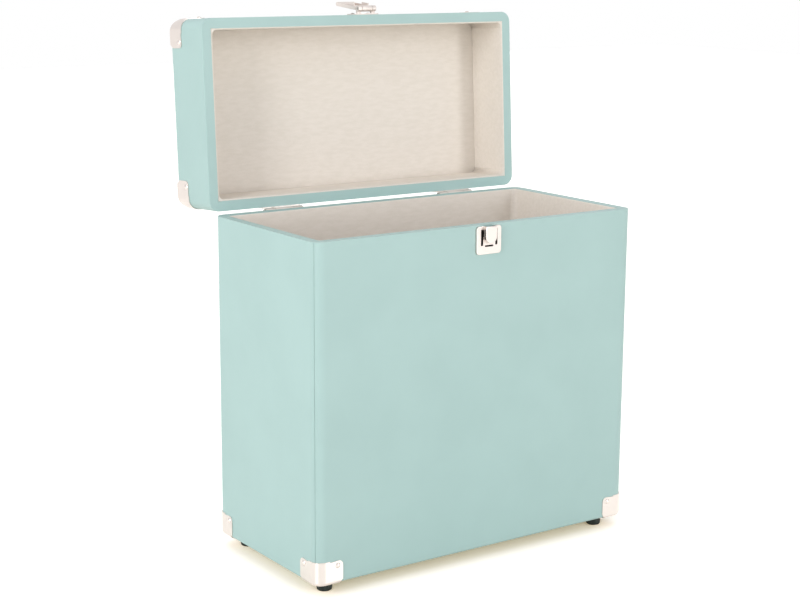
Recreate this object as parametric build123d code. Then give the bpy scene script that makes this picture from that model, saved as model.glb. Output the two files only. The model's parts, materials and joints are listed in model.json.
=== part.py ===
from build123d import *
import math
import os

# Record carrying case: a board box covered in leatherette, with a lid on two butt hinges, a snap
# hasp at the front, a carry handle on the lid, sheet-metal corner irons and four rubber feet.
# Millimetres. X runs along the front, Y to the back, Z up. The pieces are built about the middle of
# the base, the lid's where they lie with the lid shut, and then swung open. Last, everything is
# moved to the origin: on the floor, under the middle of the open case's overall box.

# ---- driving dimensions: the box ---------------------------------------------------------------
case_width = 353.0
case_depth = 176.0
base_height = 303.5        # underside of the base to its rim
lid_height = 61.5          # rim plane of the base to the top of the shut lid
rim_gap = 0.5              # air between the two rims when shut
board_thickness = 8.2
cover_thickness = 0.6      # leatherette
lining_thickness = 2.0     # felt on card
lining_drop = 0.3          # lining edge below the rim
turn_in = 12.0             # leatherette folded over the rim and down inside
edge_radius = 10.0         # the four upright edges
bottom_radius = 3.0        # edges around the base's bottom
lid_long_radius = 13.0     # the lid's top edges along its front and back
seam_setback = 5.0         # seam of the base's end covers, from the front or back face
cover_lap = 14.0           # how far an end cover reaches in from the end face
seam_width = 0.35

# ---- driving dimensions: corner irons and nails ------------------------------------------------
iron_thickness = 0.8
iron_fold_reach = 23.5     # along a folded edge
iron_fold_rise = 4.0       # height at which a lobe has its full reach
iron_reach = 26.5          # along a face
iron_height = 21.5         # top of a lobe
iron_waist = 20.5          # height between a lobe and the upright edge
iron_waist_reach = 15.0
iron_lobe_radius = 4.5
iron_hole_reach = 21.0
iron_hole_height = 16.8
iron_under_lobe_radius = 6.5
nail_head_radius = 2.6
nail_head_height = 1.3
nail_shank_radius = 0.8
nail_length = 6.5

# ---- driving dimensions: feet ------------------------------------------------------------------
foot_height = 11.0
foot_inset = 20.0          # foot's centre from the box's faces
foot_top_radius = 8.0
foot_bottom_radius = 6.8
foot_edge_radius = 2.0
foot_screw_radius = 1.6
foot_screw_head_radius = 3.2
foot_screw_head_height = 1.6
foot_screw_depth = 7.0     # thread into the board
foot_counterbore = 4.0

# ---- driving dimensions: lid hinges ------------------------------------------------------------
hinge_spacing = 200.0      # between the middles of the two hinges
hinge_width = 40.0
hinge_leaf_height = 22.0
hinge_leaf_thickness = 1.2
hinge_axis_setback = 4.1   # axis behind the back face
hinge_axis_drop = 2.3      # axis below the base's rim
hinge_knuckle_radius = 3.3
hinge_pin_radius = 1.5
hinge_end_knuckle = 10.0
hinge_play = 0.3           # side play between knuckles
hinge_pin_head_radius = 2.4
hinge_pin_head_height = 1.0
stop_lug_length = 6.5
stop_lug_thickness = 1.8
stop_lug_gap = 0.05
lid_open_angle = 93.4

# ---- driving dimensions: latch -----------------------------------------------------------------
latch_offset = 4.0         # the latch sits a little to the right of the middle
strike_width = 27.5
strike_height = 25.5
strike_drop = 1.0          # top edge below the rim
strike_depth = 2.2
strike_sheet = 0.8
strike_corner_radius = 3.0
strike_hump_width = 12.4
strike_hump_length = 15.5
strike_hump_depth = 3.9
strike_slot_width = 2.4
strike_slot_length = 14.5
strike_slot_offset = 8.0   # slot centre from the latch's centre line
strike_slot_drop = 3.0     # top of the slot below the plate's top
strike_window_length = 9.0
strike_window_height = 2.4
strike_window_start = 2.6  # in front of the box's face
strike_keyway_width = 9.6
strike_keyway_height = 1.6
strike_keyway_drop = 18.0  # below the plate's top
strike_prong_width = 4.0
strike_prong_length = 8.0
spring_thickness = 0.5
spring_gap = 0.1           # spring's bulge short of the lever's cheek
spring_length = 6.0
hasp_plate_height = 17.5
hasp_plate_lift = 0.7      # lower edge above the lid's rim
hasp_plate_thickness = 1.2
hasp_axis_lift = 3.2       # pivot above the lid's rim
hasp_axis_stand = 5.9      # pivot in front of the lid's face
hasp_barrel_radius = 2.9
hasp_barrel_width = 20.0
hasp_end_barrel = 4.0
hasp_pin_radius = 1.2
hasp_lever_width = 20.0
hasp_lever_length = 38.5   # pivot to tip
hasp_lever_thickness = 1.2
hasp_lever_stand = 0.5     # lever's inner face in front of the pivot
hasp_curl_radius = 2.0
hasp_flange_thickness = 1.0
hasp_flange_depth = 2.2
hasp_cheek_thickness = 1.2
hasp_cheek_depth = 4.4
hasp_cheek_start = 8.5     # from the pivot
hasp_cheek_length = 11.0
hasp_open_angle = 172.0    # turned back from the shut position
running_clearance = 0.05
side_clearance = 0.3

# ---- driving dimensions: carry handle ----------------------------------------------------------
handle_span = 128.0        # between the pivot centres
handle_rise = 30.0         # grip's centre line above the pivots
handle_bend_radius = 18.0
handle_axis_height = 9.0   # pivots above the lid's top
handle_grip_width = 17.0
handle_grip_thickness = 11.0
handle_grip_length = 84.0
handle_arm_width = 9.0
handle_arm_thickness = 4.5
handle_tenon = 12.0        # of each end inside the grip
handle_eye_radius = 4.0
handle_eye_width = 9.0
handle_pin_radius = 2.0
handle_pin_overhang = 1.0
mount_width = 24.0
mount_depth = 18.0
mount_thickness = 1.2
mount_ear_thickness = 2.0
mount_ear_radius = 4.6
mount_foot_depth = 13.0    # an ear where it meets its plate
mount_rivet_offset = 6.2

# ---- driving dimensions: rivets ----------------------------------------------------------------
rivet_head_radius = 2.1
rivet_head_height = 0.9
rivet_shank_radius = 1.1
rivet_length = 6.0
leaf_rivet_offset = 13.0   # from the middle of a hinge leaf
leaf_rivet_margin = 6.0    # from the leaf's far edge
hasp_rivet_offset = 9.0
hasp_rivet_margin = 4.5    # from the hasp plate's top edge

# ---- places worked out from the sizes above ----------------------------------------------------
half_width = case_width / 2
half_depth = case_depth / 2
base_bottom = foot_height + iron_thickness
base_rim = base_bottom + base_height
lid_rim = base_rim + rim_gap
lid_top = base_rim + lid_height
wall = cover_thickness + board_thickness
hinge_y = half_depth + hinge_axis_setback
hinge_z = base_rim - hinge_axis_drop
hinge_axis = Axis((0, hinge_y, hinge_z), (1, 0, 0))
hasp_y = -half_depth - hasp_axis_stand
hasp_z = lid_rim + hasp_axis_lift
handle_z = lid_top + handle_axis_height
handle_hang_angle = -90 + (lid_open_angle - 90)
CORNERS = {"front_left": (-1, -1), "front_right": (1, -1), "back_left": (-1, 1), "back_right": (1, 1)}
SIDES = {"left": -1, "right": 1}

nodes = {}


# ---- small shape helpers -----------------------------------------------------------------------
def block(x0, x1, y0, y1, z0, z1):
    """A box between two corners."""
    centre = Pos((x0 + x1) / 2, (y0 + y1) / 2, (z0 + z1) / 2)
    return centre * Box(abs(x1 - x0), abs(y1 - y0), abs(z1 - z0))


def rod_x(radius, x0, x1, y, z):
    """A round bar along X."""
    return Pos((x0 + x1) / 2, y, z) * Rot(0, 90, 0) * Cylinder(radius, abs(x1 - x0))


def dome_fastener(head_radius, head_height, shank_radius, length):
    """A nail or rivet along Z: domed head above z = 0, shank below."""
    ball_radius = (head_radius ** 2 + head_height ** 2) / (2 * head_height)
    ball = Pos(0, 0, head_height - ball_radius) * Sphere(ball_radius)
    head = ball & block(-head_radius, head_radius, -head_radius, head_radius, 0, head_height)
    shank = Pos(0, 0, -length / 2) * Cylinder(shank_radius, length)
    return head + shank


def facing(x, y, z, direction):
    """The place of a fastener whose head points along an axis: 'front', 'back', 'left', ..."""
    turns = {"up": Rot(0, 0, 0), "down": Rot(180, 0, 0), "front": Rot(90, 0, 0), "back": Rot(-90, 0, 0),
             "right": Rot(0, 90, 0), "left": Rot(0, -90, 0)}
    return Pos(x, y, z) * turns[direction]


NAIL = dome_fastener(nail_head_radius, nail_head_height, nail_shank_radius, nail_length)
NAIL_DRILL = Pos(0, 0, -nail_length / 2) * Cylinder(nail_shank_radius, nail_length + 2 * iron_thickness)
RIVET = dome_fastener(rivet_head_radius, rivet_head_height, rivet_shank_radius, rivet_length)
RIVET_DRILL = Pos(0, 0, -rivet_length / 2) * Cylinder(rivet_shank_radius, rivet_length + 2)


def cut(solid, tools):
    """Take each tool that reaches the solid out of it."""
    box = solid.bounding_box()
    for tool in tools:
        other = tool.bounding_box()
        apart = (other.min.X > box.max.X or other.max.X < box.min.X or other.min.Y > box.max.Y
                 or other.max.Y < box.min.Y or other.min.Z > box.max.Z or other.max.Z < box.min.Z)
        if not apart:
            solid = solid - tool
    return solid


# ---- the box: a base half and a lid half of one rounded block -------------------------------------
def plan_block(inset, height):
    """Half of the box as an upright block, its outer faces moved in by inset, from z = inset up."""
    plan = RectangleRounded(case_width - 2 * inset, case_depth - 2 * inset, edge_radius - inset)
    return Pos(0, 0, inset) * extrude(plan, height - inset)


def base_block(inset, height):
    """The base's outer form, rim up, with all edges around its bottom alike."""
    solid = plan_block(inset, height)
    under = solid.faces().sort_by(Axis.Z)[0]
    return fillet(under.edges(), bottom_radius - inset)


def lid_block(inset, height):
    """The lid's outer form, rim up, its panel well rounded along the front and back."""
    view = RectangleRounded(case_depth - 2 * inset, 2 * height, lid_long_radius - inset)
    bar = extrude(Plane.YZ * Pos(0, inset + height) * view, case_width, both=True)
    return plan_block(inset, height) & bar


def at_corner(solid, side_x, side_y):
    """A lower front left corner piece moved to one of the four lower corners of a half at z = 0."""
    if side_x > 0:
        solid = mirror(solid, Plane.YZ)
    if side_y > 0:
        solid = mirror(solid, Plane.XZ)
    return Pos(side_x * half_width, side_y * half_depth, 0) * solid


def make_half(form, height):
    """Covers and boards of a half, rim up, standing on z = 0, before fasteners and seams."""
    outer = form(0, height)
    inner = form(cover_thickness, height - cover_thickness)
    in_x, in_y = half_width - wall, half_depth - wall
    mouth = block(-in_x, in_x, -in_y, in_y, wall, height + 1)
    folded_x, folded_y = in_x - cover_thickness, in_y - cover_thickness
    folded = block(-folded_x, folded_x, -folded_y, folded_y, height - turn_in, height + 1)
    below_fold = block(-in_x, in_x, -in_y, in_y, wall, height - turn_in)
    skin = outer - inner - below_fold - folded
    skin = skin - block(-folded_x, folded_x, -folded_y, folded_y, wall, height)
    shell = inner - mouth
    return skin, shell


def split_boards(shell, height, panel_name):
    """Front and back boards run the full width; the ends stand between them, all on the panel."""
    in_y = half_depth - wall
    big = case_width
    walls = shell & block(-big, big, -big, big, wall, height)
    return {
        panel_name: shell & block(-big, big, -big, big, 0, wall),
        "front": walls & block(-big, big, -big, -in_y, 0, height),
        "back": walls & block(-big, big, in_y, big, 0, height),
        "left": walls & block(-big, 0, -in_y, in_y, 0, height),
        "right": walls & block(0, big, -in_y, in_y, 0, height),
    }


def split_cover(skin, height, seam_y):
    """One wrap over front, panel and back, and a separate piece on each end, out to y = seam_y."""
    lap = half_width - cover_lap
    pieces = {}
    wrap = skin
    for name, side in SIDES.items():
        end = block(side * lap, side * (half_width + 1), -seam_y, seam_y, -1, height + 1)
        gap = block(side * (lap - seam_width), side * (half_width + 1),
                    -seam_y - seam_width, seam_y + seam_width, -1, height + 1)
        pieces[name] = skin & end
        wrap = wrap - gap
    pieces["wrap"] = wrap
    return pieces


def make_linings(height, skin, panel_name):
    """Lining panels inside a half: the panel's own, the long sides between the ends, and the two ends."""
    in_x, in_y = half_width - wall, half_depth - wall
    top = height - lining_drop
    up = wall + lining_thickness
    panels = {
        panel_name: block(-in_x, in_x, -in_y, in_y, wall, up),
        "left": block(-in_x, -in_x + lining_thickness, -in_y, in_y, up, top),
        "right": block(in_x - lining_thickness, in_x, -in_y, in_y, up, top),
    }
    mid_x = in_x - lining_thickness
    panels["front"] = block(-mid_x, mid_x, -in_y, -in_y + lining_thickness, up, top)
    panels["back"] = block(-mid_x, mid_x, in_y - lining_thickness, in_y, up, top)
    return {name: panel - skin for name, panel in panels.items()}


# ---- corner irons --------------------------------------------------------------------------------
def lobe_outline(points, radius):
    """An outline of the iron on one face, its outermost corner rounded."""
    face = make_face(Polyline(*points, close=True))
    tip = face.vertices().sort_by(lambda vertex: -(vertex.X + vertex.Y))[0]
    return fillet(tip, radius)


def make_iron(form):
    """The iron for the lower front left corner of a form, with a hole in each upright lobe.

    An upright lobe is drawn with u away from the upright edge and v up from the fold. The lobe under
    the half is alike both ways.
    """
    reach, fold, rise, tall = iron_reach, iron_fold_reach, iron_fold_rise, iron_height
    upright = lobe_outline([(-2, -2), (fold, -2), (fold, 0), (reach, rise), (reach, tall),
                            (iron_waist_reach, iron_waist), (0, tall), (-2, tall)], iron_lobe_radius)
    under = lobe_outline([(-2, -2), (fold, -2), (fold, 0), (reach, rise), (reach, reach),
                          (rise, reach), (0, fold), (-2, fold)], iron_under_lobe_radius)
    front_view = Plane((0, -2, 0), x_dir=(1, 0, 0), z_dir=(0, -1, 0))
    side_view = Plane((-2, 0, 0), x_dir=(0, 1, 0), z_dir=(1, 0, 0))
    wrap = lid_long_radius + 2
    lobes = extrude(front_view * upright, -wrap) + extrude(side_view * upright, wrap)
    lobes = lobes + extrude(Plane.XY.offset(-2) * under, 2)
    sheet = form(-iron_thickness, base_height) - form(0, base_height)
    iron = (Pos(half_width, half_depth, 0) * sheet) & lobes
    for place in corner_nail_places():
        iron = iron - place * NAIL_DRILL
    return iron


def corner_nail_places():
    """Places of the two nails in the upright faces of the lower front left iron."""
    return [facing(iron_hole_reach, -iron_thickness, iron_hole_height, "front"),
            facing(-iron_thickness, iron_hole_reach, iron_hole_height, "left")]


def make_foot():
    """A rubber foot, its top at z = 0, bored and counterbored from below for its screw."""
    foot = Pos(0, 0, -foot_height / 2) * Cone(foot_bottom_radius, foot_top_radius, foot_height)
    lower_edge = foot.edges().sort_by(Axis.Z)[0]
    foot = fillet(lower_edge, foot_edge_radius)
    foot = foot - Pos(0, 0, -foot_height / 2) * Cylinder(foot_screw_radius, foot_height + 2)
    well_z = -foot_height + foot_counterbore / 2
    return foot - Pos(0, 0, well_z) * Cylinder(foot_screw_head_radius + side_clearance, foot_counterbore)


def make_foot_screw():
    """The screw of a foot: head in the counterbore, shank up into the board; z = 0 at the foot's top."""
    seat = -foot_height + foot_counterbore
    top = iron_thickness + foot_screw_depth
    shank = Pos(0, 0, (seat + top) / 2) * Cylinder(foot_screw_radius, top - seat)
    head_z = seat - foot_screw_head_height / 2
    head = Pos(0, 0, head_z) * Cylinder(foot_screw_head_radius, foot_screw_head_height)
    slot = block(-foot_screw_head_radius, foot_screw_head_radius, -0.4, 0.4,
                 seat - foot_screw_head_height - 1, seat - foot_screw_head_height + 0.7)
    return shank + head - slot


# ---- lid hinges ------------------------------------------------------------------------------------
knuckle_split = hinge_width / 2 - hinge_end_knuckle


def knuckle(x0, x1, bore):
    """One hinge knuckle about the lid's axis, bored for the pin."""
    return (rod_x(hinge_knuckle_radius, x0, x1, hinge_y, hinge_z)
            - rod_x(bore, x0 - 1, x1 + 1, hinge_y, hinge_z))


def make_base_leaf(x):
    """Leaf on the base's back, with the two end knuckles."""
    half = hinge_width / 2
    low = hinge_z - hinge_leaf_height
    notch = hinge_z - hinge_knuckle_radius - 2 * side_clearance
    leaf = block(x - half, x + half, half_depth, half_depth + hinge_leaf_thickness, low, hinge_z)
    leaf = leaf - block(x - knuckle_split, x + knuckle_split, half_depth - 1, hinge_y, notch, hinge_z + 1)
    pin_hole = rod_x(hinge_pin_radius, x - half - 1, x + half + 1, hinge_y, hinge_z)
    for side in SIDES.values():
        x0, x1 = x + side * knuckle_split, x + side * half
        web = block(x0, x1, half_depth, hinge_y, hinge_z - hinge_knuckle_radius, hinge_z)
        leaf = leaf + (web - pin_hole) + knuckle(min(x0, x1), max(x0, x1), hinge_pin_radius)
    return leaf


def make_lid_leaf(x):
    """Leaf on the shut lid's back, with the middle knuckle and the stop lug."""
    half = hinge_width / 2
    inner = knuckle_split - hinge_play
    bore = hinge_pin_radius + running_clearance
    top = hinge_z + hinge_leaf_height
    leaf = block(x - half, x + half, half_depth, half_depth + hinge_leaf_thickness, lid_rim, top)
    web = block(x - inner, x + inner, half_depth + side_clearance, hinge_y,
                hinge_z, hinge_z + hinge_knuckle_radius)
    lug_y = half_depth + hinge_leaf_thickness + stop_lug_gap
    lug = block(x - inner, x + inner, lug_y, lug_y + stop_lug_thickness, hinge_z - stop_lug_length, hinge_z)
    lug = lug.rotate(hinge_axis, lid_open_angle)
    pin_hole = rod_x(bore, x - half, x + half, hinge_y, hinge_z)
    return leaf + (web - pin_hole) + (lug - pin_hole) + knuckle(x - inner, x + inner, bore)


def make_hinge_pin(x):
    """Hinge pin with a flat head at each end."""
    half = hinge_width / 2
    pin = rod_x(hinge_pin_radius, x - half, x + half, hinge_y, hinge_z)
    for side in SIDES.values():
        head_x = x + side * half
        pin = pin + rod_x(hinge_pin_head_radius, head_x, head_x + side * hinge_pin_head_height,
                          hinge_y, hinge_z)
    return pin


def leaf_rivet_places(leaf):
    """Rivets of both hinges' base or lid leaves."""
    if leaf == "base":
        z = hinge_z - hinge_leaf_height + leaf_rivet_margin
    else:
        z = hinge_z + hinge_leaf_height - leaf_rivet_margin
    y = half_depth + hinge_leaf_thickness
    return [facing(side * hinge_spacing / 2 + turn * leaf_rivet_offset, y, z, "back")
            for side in SIDES.values() for turn in SIDES.values()]


# ---- latch: strike on the base ---------------------------------------------------------------------
strike_top = base_rim - strike_drop
front_plane = Plane((latch_offset, -half_depth, strike_top), x_dir=(1, 0, 0), z_dir=(0, -1, 0))


def on_front(sketch, start, depth):
    """A sketch on the base's front, x from the latch's middle and y up from the strike's top, made solid."""
    return extrude(front_plane.offset(start) * sketch, depth)


def hump_sketch(width, length):
    """A tongue with a round lower end, from the strike's top down."""
    straight = length - width / 2
    return Pos(0, -straight / 2) * Rectangle(width, straight) + Pos(0, -straight) * Circle(width / 2)


def strike_prongs():
    """The two prongs behind the strike that go through the board."""
    side = strike_width / 2 - strike_sheet
    low = strike_top - strike_height / 2
    half = strike_prong_width / 2
    prongs = []
    for turn in SIDES.values():
        x = latch_offset + turn * side
        prongs.append(block(x, x + turn * strike_sheet, -half_depth, -half_depth + strike_prong_length,
                            low - half, low + half))
    return prongs


def make_strike():
    """Pressed strike: a shallow pan with a tongue-shaped hump, two slots, two windows and a keyway."""
    plate = Pos(0, -strike_height / 2) * RectangleRounded(strike_width, strike_height, strike_corner_radius)
    pan = on_front(plate, 0, strike_depth)
    pan = fillet(pan.faces().sort_by(Axis.Y)[0].edges(), strike_sheet * 0.7)
    hump = on_front(hump_sketch(strike_hump_width, strike_hump_length), 0, strike_depth + strike_hump_depth)
    hump = fillet(hump.faces().sort_by(Axis.Y)[0].edges(), strike_sheet)
    inner = Pos(0, -strike_height / 2) * RectangleRounded(
        strike_width - 2 * strike_sheet, strike_height - 2 * strike_sheet,
        strike_corner_radius - strike_sheet)
    hollow = on_front(inner, -1, strike_depth - strike_sheet + 1)
    tongue = hump_sketch(strike_hump_width - 2 * strike_sheet, strike_hump_length - strike_sheet)
    hollow = hollow + on_front(tongue, -1, strike_depth + strike_hump_depth - strike_sheet + 1)
    open_top = Pos(0, 1) * Rectangle(strike_hump_width - 2 * strike_sheet, 4)
    hollow = hollow + on_front(open_top, -1, strike_depth + strike_hump_depth - strike_sheet + 1)
    strike = pan + hump - hollow
    slot_y = -strike_slot_drop - strike_slot_length / 2
    for turn in SIDES.values():
        slot = Pos(turn * strike_slot_offset, slot_y) * Rectangle(strike_slot_width, strike_slot_length)
        strike = strike - on_front(slot, -1, strike_depth + 2)
    window_y = -strike_slot_drop - strike_window_length / 2
    window = Pos(0, window_y) * Rectangle(strike_width / 2 + 1, strike_window_length)
    strike = strike - on_front(window, strike_window_start, strike_window_height)
    keyway = Pos(0, -strike_keyway_drop) * RectangleRounded(
        strike_keyway_width, strike_keyway_height, strike_keyway_height / 2 - 0.01)
    strike = strike - on_front(keyway, -1, strike_depth + 2)
    for prong in strike_prongs():
        strike = strike + prong
    return strike


def make_strike_spring():
    """Bent strip inside the hump: a back that lies on the cover and two arms that bulge at the windows."""
    arm = strike_hump_width / 2 - strike_sheet - side_clearance
    cheek_face = strike_slot_offset - hasp_cheek_thickness / 2
    middle = -strike_slot_drop - side_clearance - spring_length / 2
    depth = strike_window_start + strike_window_height - side_clearance
    strip = Pos(0, middle) * Rectangle(2 * arm, spring_length)
    spring = on_front(strip, 0, spring_thickness)
    for turn in SIDES.values():
        side = Pos(turn * (arm - spring_thickness / 2), middle) * Rectangle(spring_thickness, spring_length)
        spring = spring + on_front(side, 0, depth)
        reach = cheek_face - spring_gap - arm
        bulge = Pos(turn * (arm + reach / 2), middle) * Rectangle(reach, spring_length)
        start = strike_window_start + side_clearance
        spring = spring + on_front(bulge, start, depth - start)
    return spring


# ---- latch: hasp on the lid (lid shut, lever hanging) ----------------------------------------------
barrel_split = hasp_barrel_width / 2 - hasp_end_barrel


def make_hasp_plate():
    """Plate on the lid's front with the two end barrels."""
    low = lid_rim + hasp_plate_lift
    outline = Pos(latch_offset, -half_depth, low + hasp_plate_height / 2) * Rot(90, 0, 0) * RectangleRounded(
        strike_width, hasp_plate_height, strike_corner_radius)
    plate = extrude(outline, hasp_plate_thickness)
    for turn in SIDES.values():
        x0 = latch_offset + turn * barrel_split
        x1 = latch_offset + turn * hasp_barrel_width / 2
        barrel = rod_x(hasp_barrel_radius, x0, x1, hasp_y, hasp_z)
        web = block(x0, x1, hasp_y, -half_depth - hasp_plate_thickness / 2,
                    hasp_z, hasp_z + hasp_barrel_radius)
        plate = plate + barrel + web
    hole = rod_x(hasp_pin_radius, latch_offset - hasp_barrel_width, latch_offset + hasp_barrel_width,
                 hasp_y, hasp_z)
    return plate - hole


def make_hasp_pin():
    """Pin through the three barrels."""
    half = hasp_barrel_width / 2
    return rod_x(hasp_pin_radius, latch_offset - half, latch_offset + half, hasp_y, hasp_z)


def make_hasp_lever():
    """Lever as it hangs shut: barrel, neck, flanged plate, two cheeks and a rolled tip."""
    x, half = latch_offset, hasp_lever_width / 2
    face = hasp_y - hasp_lever_stand
    neck = barrel_split - side_clearance
    shoulder = hasp_z - hasp_barrel_radius - 2 * side_clearance
    tip = hasp_z - hasp_lever_length
    back = face - hasp_lever_thickness
    lever = block(x - neck, x + neck, back, face, shoulder - 1, hasp_z)
    lever = lever + rod_x(hasp_barrel_radius, x - neck, x + neck, hasp_y, hasp_z)
    roll_z = tip + hasp_curl_radius
    lever = lever + block(x - half, x + half, back, face, roll_z, shoulder)
    lever = lever + rod_x(hasp_curl_radius, x - half, x + half, back + hasp_curl_radius, roll_z)
    for turn in SIDES.values():
        edge = x + turn * half
        lever = lever + block(edge - turn * hasp_flange_thickness, edge, face, face + hasp_flange_depth,
                              roll_z, shoulder)
        inner = x + turn * (strike_slot_offset - hasp_cheek_thickness / 2)
        outer = x + turn * (strike_slot_offset + hasp_cheek_thickness / 2)
        cheek_top = hasp_z - hasp_cheek_start
        lever = lever + block(inner, outer, face, face + hasp_cheek_depth,
                              cheek_top - hasp_cheek_length, cheek_top)
    bore = hasp_pin_radius + running_clearance
    return lever - rod_x(bore, x - half - 1, x + half + 1, hasp_y, hasp_z)


def hasp_rivet_places():
    """Two rivets near the top of the hasp plate."""
    z = lid_rim + hasp_plate_lift + hasp_plate_height - hasp_rivet_margin
    y = -half_depth - hasp_plate_thickness
    return [facing(latch_offset + turn * hasp_rivet_offset, y, z, "front") for turn in SIDES.values()]


# ---- carry handle (lid shut, handle upright) -------------------------------------------------------
def make_mount(side):
    """Handle mount: a plate on the lid's top with two ears."""
    x = side * handle_span / 2
    top = lid_top + mount_thickness
    mount = block(x - mount_width / 2, x + mount_width / 2, -mount_depth / 2, mount_depth / 2, lid_top, top)
    ear_gap = handle_eye_width / 2 + side_clearance
    for turn in SIDES.values():
        x0 = x + turn * ear_gap
        x1 = x0 + turn * mount_ear_thickness
        profile = Polyline((x0, -mount_foot_depth / 2, top), (x0, mount_foot_depth / 2, top),
                           (x0, mount_ear_radius, handle_z), (x0, -mount_ear_radius, handle_z), close=True)
        ear = extrude(make_face(profile), mount_ear_thickness, dir=(turn, 0, 0))
        mount = mount + ear + rod_x(mount_ear_radius, x0, x1, 0, handle_z)
    return mount - rod_x(handle_pin_radius, x - mount_width, x + mount_width, 0, handle_z)


def make_handle_pin(side):
    """Pivot pin through a mount's two ears."""
    x = side * handle_span / 2
    half = handle_eye_width / 2 + side_clearance + mount_ear_thickness + handle_pin_overhang
    return rod_x(handle_pin_radius, x - half, x + half, 0, handle_z)


def make_handle_end(side):
    """Metal end of the handle: an eye about the pivot and an arm that bends into the grip."""
    x = side * handle_span / 2
    top = handle_z + handle_rise
    grip_end = side * (handle_grip_length / 2 - handle_tenon)
    bend = handle_bend_radius
    up = Line((x, 0, handle_z), (x, 0, top - bend))
    turn = RadiusArc((x, 0, top - bend), (x - side * bend, 0, top), -side * bend)
    along = Line((x - side * bend, 0, top), (grip_end, 0, top))
    section = Plane((x, 0, handle_z), x_dir=(1, 0, 0), z_dir=(0, 0, 1)) * Rectangle(
        handle_arm_thickness, handle_arm_width)
    arm = sweep(section, path=up + turn + along)
    half = handle_eye_width / 2
    arm = arm + rod_x(handle_eye_radius, x - half, x + half, 0, handle_z)
    return arm - rod_x(handle_pin_radius + running_clearance, x - half - 1, x + half + 1, 0, handle_z)


def make_grip(ends):
    """Moulded grip around the tenons of both ends."""
    top = handle_z + handle_rise
    half = handle_grip_length / 2
    section = Plane((-half, 0, top), x_dir=(0, 1, 0), z_dir=(1, 0, 0)) * RectangleRounded(
        handle_grip_width, handle_grip_thickness, handle_grip_thickness / 2 - 0.3)
    grip = extrude(section, handle_grip_length)
    grip = fillet(grip.faces().sort_by(Axis.X)[0].edges(), 2)
    grip = fillet(grip.faces().sort_by(Axis.X)[-1].edges(), 2)
    for end in ends:
        grip = grip - end
    return grip


def mount_rivet_places():
    """Two rivets in each handle mount, in front of and behind the eye."""
    return [facing(side * handle_span / 2, turn * mount_rivet_offset, lid_top + mount_thickness, "up")
            for side in SIDES.values() for turn in SIDES.values()]


# ---- assembly --------------------------------------------------------------------------------------
def lift_base(solid):
    """From a half on z = 0 to the base's place."""
    return Pos(0, 0, base_bottom) * solid


def turn_lid(solid):
    """From a half on z = 0 to the shut lid's place: upside down above the base."""
    return Pos(0, 0, lid_top) * mirror(solid, Plane.XY)


def swing(solid):
    """The shut lid's pieces, opened."""
    return solid.rotate(hinge_axis, -lid_open_angle)


def half_pieces(prefix, panel_name, form, height, seam_y, to_place, drills):
    """Boards, covers, linings, irons and nails of one half, cut by the drills and put in place.

    The panel is the half's large face: the base's bottom or the lid's top.
    """
    skin, shell = make_half(form, height)
    nail_places = [at_corner(place * NAIL_DRILL, *sides)
                   for sides in CORNERS.values() for place in corner_nail_places()]
    all_drills = [to_place(drill) for drill in nail_places] + drills
    pieces = {}
    for name, board in split_boards(shell, height, panel_name).items():
        pieces[f"{prefix}_{name}_board"] = cut(to_place(board), all_drills)
    for name, cover in split_cover(skin, height, seam_y).items():
        pieces[f"{prefix}_{name}_cover"] = cut(to_place(cover), all_drills)
    for name, lining in make_linings(height, skin, panel_name).items():
        pieces[f"{prefix}_{name}_lining"] = cut(to_place(lining), drills)
    iron = make_iron(form)
    for name, sides in CORNERS.items():
        pieces[f"{prefix}_iron_{name}"] = cut(to_place(at_corner(iron, *sides)), drills)
    nails = [to_place(at_corner(place * NAIL, *sides))
             for sides in CORNERS.values() for place in corner_nail_places()]
    pieces[f"{prefix}_corner_nails"] = Compound([nail.solid() for nail in nails])
    return pieces


def group(shape, places):
    """Copies of one fastener as separate solids of one node."""
    return Compound([(place * shape).solid() for place in places])


def add_base():
    """Everything that stands still."""
    foot_places = {name: Pos(sx * (half_width - foot_inset), sy * (half_depth - foot_inset), foot_height)
                   for name, (sx, sy) in CORNERS.items()}
    screw_drill = Cylinder(foot_screw_radius, 2 * (iron_thickness + foot_screw_depth))
    screw_drills = [place * screw_drill for place in foot_places.values()]
    leaf_rivets = leaf_rivet_places("base")
    drills = screw_drills + [place * RIVET_DRILL for place in leaf_rivets] + strike_prongs()
    seam_y = half_depth - seam_setback
    nodes.update(half_pieces("base", "bottom", base_block, base_height, seam_y, lift_base, drills))
    foot = make_foot()
    for name, place in foot_places.items():
        nodes[f"foot_{name}"] = place * foot
    nodes["foot_screws"] = group(make_foot_screw(), foot_places.values())
    for name, side in SIDES.items():
        x = side * hinge_spacing / 2
        nodes[f"hinge_base_leaf_{name}"] = cut(make_base_leaf(x), [p * RIVET_DRILL for p in leaf_rivets])
        nodes[f"hinge_pin_{name}"] = make_hinge_pin(x)
    nodes["hinge_base_rivets"] = group(RIVET, leaf_rivets)
    nodes["strike_plate"] = make_strike()
    nodes["strike_spring"] = make_strike_spring()


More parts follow.
